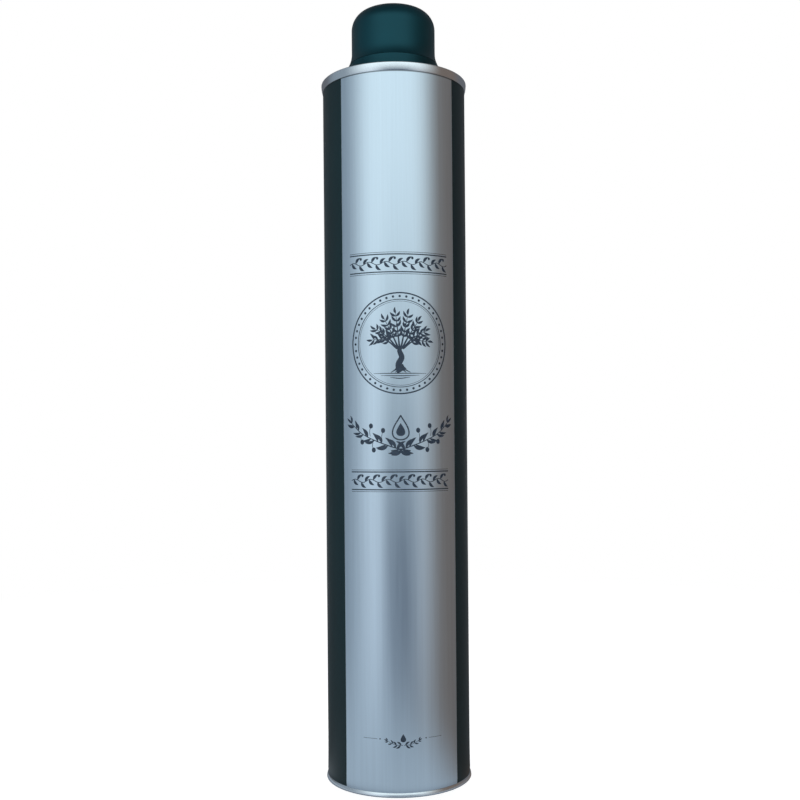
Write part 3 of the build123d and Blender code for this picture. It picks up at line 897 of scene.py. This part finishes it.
class OILTIN_OT_compound(Operator):
    """The compound in both voids of each seam, drawn in with the seam's sheets"""

    bl_idname = "oil_tin.compound"
    bl_label = "Seam compound"

    def execute(self, context):
        tin = context.scene.oil_tin
        ends = (("top", tin.height, -1, tin.top_seam), ("bottom", 0.0, 1, tin.bottom_seam))
        for end, rim, way, seam in ends:
            points, faces = [], []
            for inner, first, outer, last in compound_voids(tin, seam):
                height = rim + way * np.linspace(first, last, COMPOUND_STEPS)
                outline = np.concatenate([line_of(inner, height), line_of(outer, height[::-1])])
                ring, quads = turned(tapered(outline, tin), tin.around)
                faces += (np.array(quads) + sum(map(len, points))).tolist()
                points.append(ring)
            shape, replaced = (np.concatenate(points), faces), [end + "_seam_compound"]
            piece(end + "_seam_filling", *shape, "tin", "seam_compound", replaced)
        return {"FINISHED"}


class OILTIN_OT_print(Operator):
    """The printed motifs on the silver panel, as thin raised ink"""

    bl_idname = "oil_tin.print"
    bl_label = "Printed motifs"

    def execute(self, context):
        prints = context.scene.oil_tin_print
        reach, radius = prints.border_reach / MM, prints.medallion_radius / MM
        groups = {
            "print_upper_border": garland_border(prints.upper_border / MM, reach),
            "print_medallion": medallion(prints.medallion_height / MM, radius),
            "print_sprays": crossed_sprays(prints.spray_height / MM),
            "print_lower_border": garland_border(prints.lower_border / MM, reach),
            "print_foot_ornament": foot_ornament(prints.foot_height / MM),
        }
        for name, strokes in groups.items():
            shape = wrapped(strokes, prints.ink_proud, prints.ink_sunk)
            piece(name, *shape, "tin", "printed_tinplate", kind="printing_ink")
        return {"FINISHED"}


class OILTIN_OT_finishes(Operator):
    """Finishes for the frame's own parts: closure, seam compound, gasket and liner"""

    bl_idname = "oil_tin.finishes"
    bl_label = "Closure finishes"

    def execute(self, context):
        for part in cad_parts.values():
            slot = part.data.materials[0].name
            if slot in MOULDED:
                part.data.materials[0] = finish(slot)
        return {"FINISHED"}


# Stage, in metres, degrees and watts

WHITE, COOL, SKY = (1.0, 1.0, 1.0), (0.96, 0.99, 1.0), (0.9, 0.95, 1)
SKY_LIGHT, FLOOR_GLOW, SCREEN_GLOW = 0.09, 0.88, 1.1
STAGE_STEPS = 96
LENS_SHIFT, NEAR_LIMIT = (0.0044, 0.0487), 0.01
TABLE_HOLE, TABLE_LIFT = 0.02, 0.05 * MM

# Where soft edges start and end: distances from the tin, heights, and turns from the front
# The second pair is the edge of the painted shadow on the mirrored table at the tin's foot.
FLOOR_FADE, FOOT_SHADOW_EDGE, TABLE_FAR = (0.18, 0.55), (0.027, 0.034), (0.03, 0.36)
LOW_ZONE, DIM_ZONE = (0.0, 0.46), (0.85, 1.5)
BOX_LEFT, BOX_RIGHT, LOW_RIGHT = (-83, -33), (28, 78), (28 / 3, 78)
CARD_LEFT, CARD_RIGHT = (-33, -8), (18, 43)
FLANKS, BACK, TABLE_FLANKS, TABLE_RIGHT = (100, 128), (148, 176), (80, 125), (30, 110)

# Over these distances the table's right side comes forward, from the first turn to the second
TABLE_TURN, RIGHT_TURN = (0.05, 0.15), (6, 50)

# Each lamp's name, width, power, place, aim, tint and spread
LAMPS = (
    ("front_lamp", 0.6, 4.5, (-0.36, -1.24, 0.12), (0, 0, 0.13), COOL, 180),
    ("table_bounce", 0.2, 0.45, (-0.05, -0.31, 0.02), (0, 0, 0.265), COOL, 110),
    ("left_back_lamp", 0.8, 10.0, (-0.72, 1.08, 0.3), (0, 0, 0.13), WHITE, 180),
    ("right_back_lamp", 0.8, 10.0, (0.72, 1.08, 0.3), (0, 0, 0.13), WHITE, 180),
    ("top_lamp", 0.8, 5.0, (0.0, 1.0, 1.0), (0, 0, 0.2), WHITE, 180),
)


def light_path_mask(tree):
    """One for camera, glossy and transmission rays, and nothing for the rest."""
    rays = node(tree, "LightPath", {})
    seen = maths(tree, "MAXIMUM", rays["Is Camera Ray"], rays["Is Glossy Ray"])
    return maths(tree, "MAXIMUM", seen, rays["Is Transmission Ray"])


def studio_world():
    """A white backdrop for what is seen or mirrored, and a plainer level for the light it gives."""
    world = bpy.data.worlds.new("studio_backdrop")
    world.use_nodes = True
    tree = world.node_tree
    tree.nodes.clear()
    white = node(tree, "Background", {"Color": WHITE, "Strength": 1.0})[0]
    light = node(tree, "Background", {"Color": SKY, "Strength": SKY_LIGHT})[0]
    both = node(tree, "MixShader", {0: light_path_mask(tree), 1: light, 2: white})
    node(tree, "OutputWorld", {"Surface": both[0]})
    bpy.context.scene.world = world


def surface_material(name, surface_of):
    """A material whose surface comes from a maker of nodes, in place of the usual shader."""
    material, tree, shader = new_material(name)
    tree.nodes.remove(shader)
    tree.links.new(surface_of(tree), tree.nodes["Material Output"].inputs["Surface"])
    return material


def floor_surface(tree):
    """A pale floor that takes the tin's shadow near it and fades into the white backdrop."""
    paint = bpy.context.scene.oil_tin_tones.floor
    fade = ramped(tree, distance(tree), *FLOOR_FADE)
    lift = ramped(tree, fade, 0.0, 1.0, FLOOR_GLOW, 1.0, "LINEAR")
    lift = times(tree, light_path_mask(tree), lift)
    matt = node(tree, "BsdfDiffuse", {"Color": mixed(tree, fade, paint, (0, 0, 0))})
    return node(tree, "AddShader", {0: matt[0], 1: glow(tree, WHITE, lift)})[0]


def turn_mask(tree, turn, edge, before=0.0, after=1.0):
    """A soft step by the turn, between the values before and after an edge given in degrees."""
    return ramped(tree, turn, *map(math.radians, edge), before, after)


def side_mask(tree, turn, edge):
    """Nothing in front, and one past an edge to either side."""
    return turn_mask(tree, maths(tree, "ABSOLUTE", turn), edge)


def room_tone(tree, turn, rise):
    """The mirrored room's tone by the turn about the axis. A softbox fades into a cool wall at the
    left and a warm one at the right, and is dimmer low down, with a dark card in the middle. The
    back's flanks are dim, round one soft light."""
    tones = bpy.context.scene.oil_tin_tones
    box = turn_mask(tree, turn, BOX_LEFT)
    high = mixed(tree, box, tones.left_side, tones.softbox)
    high = mixed(tree, turn_mask(tree, turn, BOX_RIGHT), high, tones.right_side)
    low = mixed(tree, box, tones.left_side, tones.low_front)
    low = mixed(tree, turn_mask(tree, turn, LOW_RIGHT), low, tones.right_side)
    before_right = turn_mask(tree, turn, CARD_RIGHT, 1.0, 0.0)
    card = times(tree, turn_mask(tree, turn, CARD_LEFT), before_right)
    front = mixed(tree, rise, mixed(tree, card, low, tones.card), high)
    flanks = mixed(tree, side_mask(tree, turn, FLANKS), front, tones.behind)
    back = times(tree, side_mask(tree, turn, BACK), rest_of(tree, rise))
    return mixed(tree, back, flanks, tones.back_light)


def wall_tone(tree):
    """The standing screen's tone: the room's, rising with height and dimming to the ceiling's."""
    turn, up = turn_and_height(tree)
    tone = room_tone(tree, turn, ramped(tree, up, *LOW_ZONE))
    return mixed(tree, ramped(tree, up, *DIM_ZONE), tone, ceiling_tone(tree))


def table_tone(tree):
    """The table's tone: a painted shadow at the tin's foot, then its own tone near the tin, then
    the room's low tone further out.
    """
    tones = bpy.context.scene.oil_tin_tones
    turn, away = turn_and_height(tree)[0], distance(tree)
    # Painted shadow: the table darkens at the tin's foot, standing in for the tin's contact shadow.
    near = mixed(tree, ramped(tree, away, *FOOT_SHADOW_EDGE), tones.at_foot, tones.table)
    wider = ramped(tree, away, *TABLE_TURN, *map(math.radians, RIGHT_TURN))
    right = turn_mask(tree, maths(tree, "ADD", turn, wider), TABLE_RIGHT)
    near = mixed(tree, right, near, tones.right_side)
    near = mixed(tree, side_mask(tree, turn, TABLE_FLANKS), near, tones.behind)
    return mixed(tree, ramped(tree, away, *TABLE_FAR), near, room_tone(tree, turn, 0.0))


def ceiling_tone(tree):
    """The ceiling's even tone."""
    return bpy.context.scene.oil_tin_tones.ceiling


def glow(tree, tone, strength=SCREEN_GLOW):
    """A surface that glows in a tone."""
    return node(tree, "Emission", {"Color": tone, "Strength": strength})[0]


def stage_piece(name, points, faces, material, mirrored_only=False):
    """A stage object; a screen is seen by mirrors only and throws no shadow."""
    made = new_object(name, points, faces, material)
    if mirrored_only:
        for ray in ("camera", "diffuse", "transmission", "shadow"):
            setattr(made, "visible_" + ray, False)


def disc(radius, height):
    """A level disc: triangles from a ring to its middle."""
    points = np.concatenate([about_axis(radius, all_round(STAGE_STEPS), height), [[0, 0, height]]])
    return points, np.roll(fan(STAGE_STEPS, 0, STAGE_STEPS), -1, axis=1).tolist()


def band(*edges):
    """Quads between two rings, each given by its radius and height."""
    rings = [about_axis(radius, all_round(STAGE_STEPS), height) for radius, height in edges]
    return np.concatenate(rings), turned_faces(2, STAGE_STEPS, False).tolist()


def lamp(name, size, power, place_at, aim, tint, spread):
    """A soft square lamp, aimed at a point, that mirrors do not see. Its spread is in degrees."""
    data = bpy.data.lights.new(name, "AREA")
    data.shape = "SQUARE"
    data.size = size
    data.energy = power
    data.spread = math.radians(spread)
    data.color = tint
    made = bpy.data.objects.new(name, data)
    x, y, z = np.array(aim) - np.array(place_at)
    made.location = place_at
    made.rotation_euler = (math.atan2(math.hypot(x, y), -z), 0, math.atan2(-x, y))
    made.visible_glossy = False
    made.visible_camera = False
    bpy.context.scene.collection.objects.link(made)


class OILTIN_OT_stage(Operator):
    """The floor, backdrop, mirrored screens, lamps and camera"""

    bl_idname = "oil_tin.stage"
    bl_label = "Studio"

    def execute(self, context):
        stage = context.scene.oil_tin_stage
        studio_world()
        floor = surface_material("pale_floor", floor_surface)
        stage_piece("floor", *disc(stage.floor_radius, 0.0), floor)
        out, top = stage.screen_radius, stage.screen_top
        screens = {
            "screen_wall": (band((out, 0.0), (out, top)), wall_tone),
            "screen_table": (band((out, TABLE_LIFT), (TABLE_HOLE, TABLE_LIFT)), table_tone),
            "screen_ceiling": (disc(out, top), ceiling_tone),
        }
        for name, (shape, tone_of) in screens.items():
            glowing = surface_material(name + "_glow", lambda tree: glow(tree, tone_of(tree)))
            stage_piece(name, *shape, glowing, mirrored_only=True)
        for described in LAMPS:
            lamp(*described)
        camera = bpy.data.cameras.new("camera")
        camera.lens = stage.lens
        camera.shift_x, camera.shift_y = LENS_SHIFT
        camera.clip_start = NEAR_LIMIT
        made = bpy.data.objects.new("camera", camera)
        made.location = (0, -stage.camera_distance, stage.camera_height)
        made.rotation_euler = (math.pi / 2, stage.camera_roll, 0)
        context.scene.collection.objects.link(made)
        context.scene.camera = made
        context.scene.view_settings.view_transform = "Standard"
        return {"FINISHED"}


OPERATORS = (OILTIN_OT_wall, OILTIN_OT_top_end, OILTIN_OT_bottom_end, OILTIN_OT_compound)
OPERATORS += (OILTIN_OT_print, OILTIN_OT_finishes, OILTIN_OT_stage)

GROUPS = {
    "oil_tin": TinSizes,
    "oil_tin_print": PrintSizes,
    "oil_tin_colours": FinishColours,
    "oil_tin_tones": StudioTones,
    "oil_tin_stage": StageSizes,
}


class OILTIN_PT_sidebar(Panel):
    """Lists the tin's pieces and sizes"""

    bl_label = "Oil tin"
    bl_space_type = "VIEW_3D"
    bl_region_type = "UI"
    bl_category = "Oil Tin"

    def draw(self, context):
        for operator in OPERATORS:
            self.layout.operator(operator.bl_idname)
        for name in GROUPS:
            group = getattr(context.scene, name)
            for key in GROUPS[name].__annotations__:
                self.layout.prop(group, key)


def register():
    for group in GROUPS.values():
        bpy.utils.register_class(group)
    for name, group in GROUPS.items():
        setattr(bpy.types.Scene, name, PointerProperty(type=group))
    for operator in OPERATORS:
        bpy.utils.register_class(operator)
    bpy.utils.register_class(OILTIN_PT_sidebar)


def unregister():
    bpy.utils.unregister_class(OILTIN_PT_sidebar)
    for operator in reversed(OPERATORS):
        bpy.utils.unregister_class(operator)
    for name, group in reversed(GROUPS.items()):
        delattr(bpy.types.Scene, name)
        bpy.utils.unregister_class(group)


def main():
    """Registers the classes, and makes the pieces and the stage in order."""
    register()
    bpy.ops.oil_tin.wall()
    bpy.ops.oil_tin.top_end()
    bpy.ops.oil_tin.bottom_end()
    bpy.ops.oil_tin.compound()
    bpy.ops.oil_tin.print()
    bpy.ops.oil_tin.finishes()
    bpy.ops.oil_tin.stage()


if __name__ == "__main__":
    main()
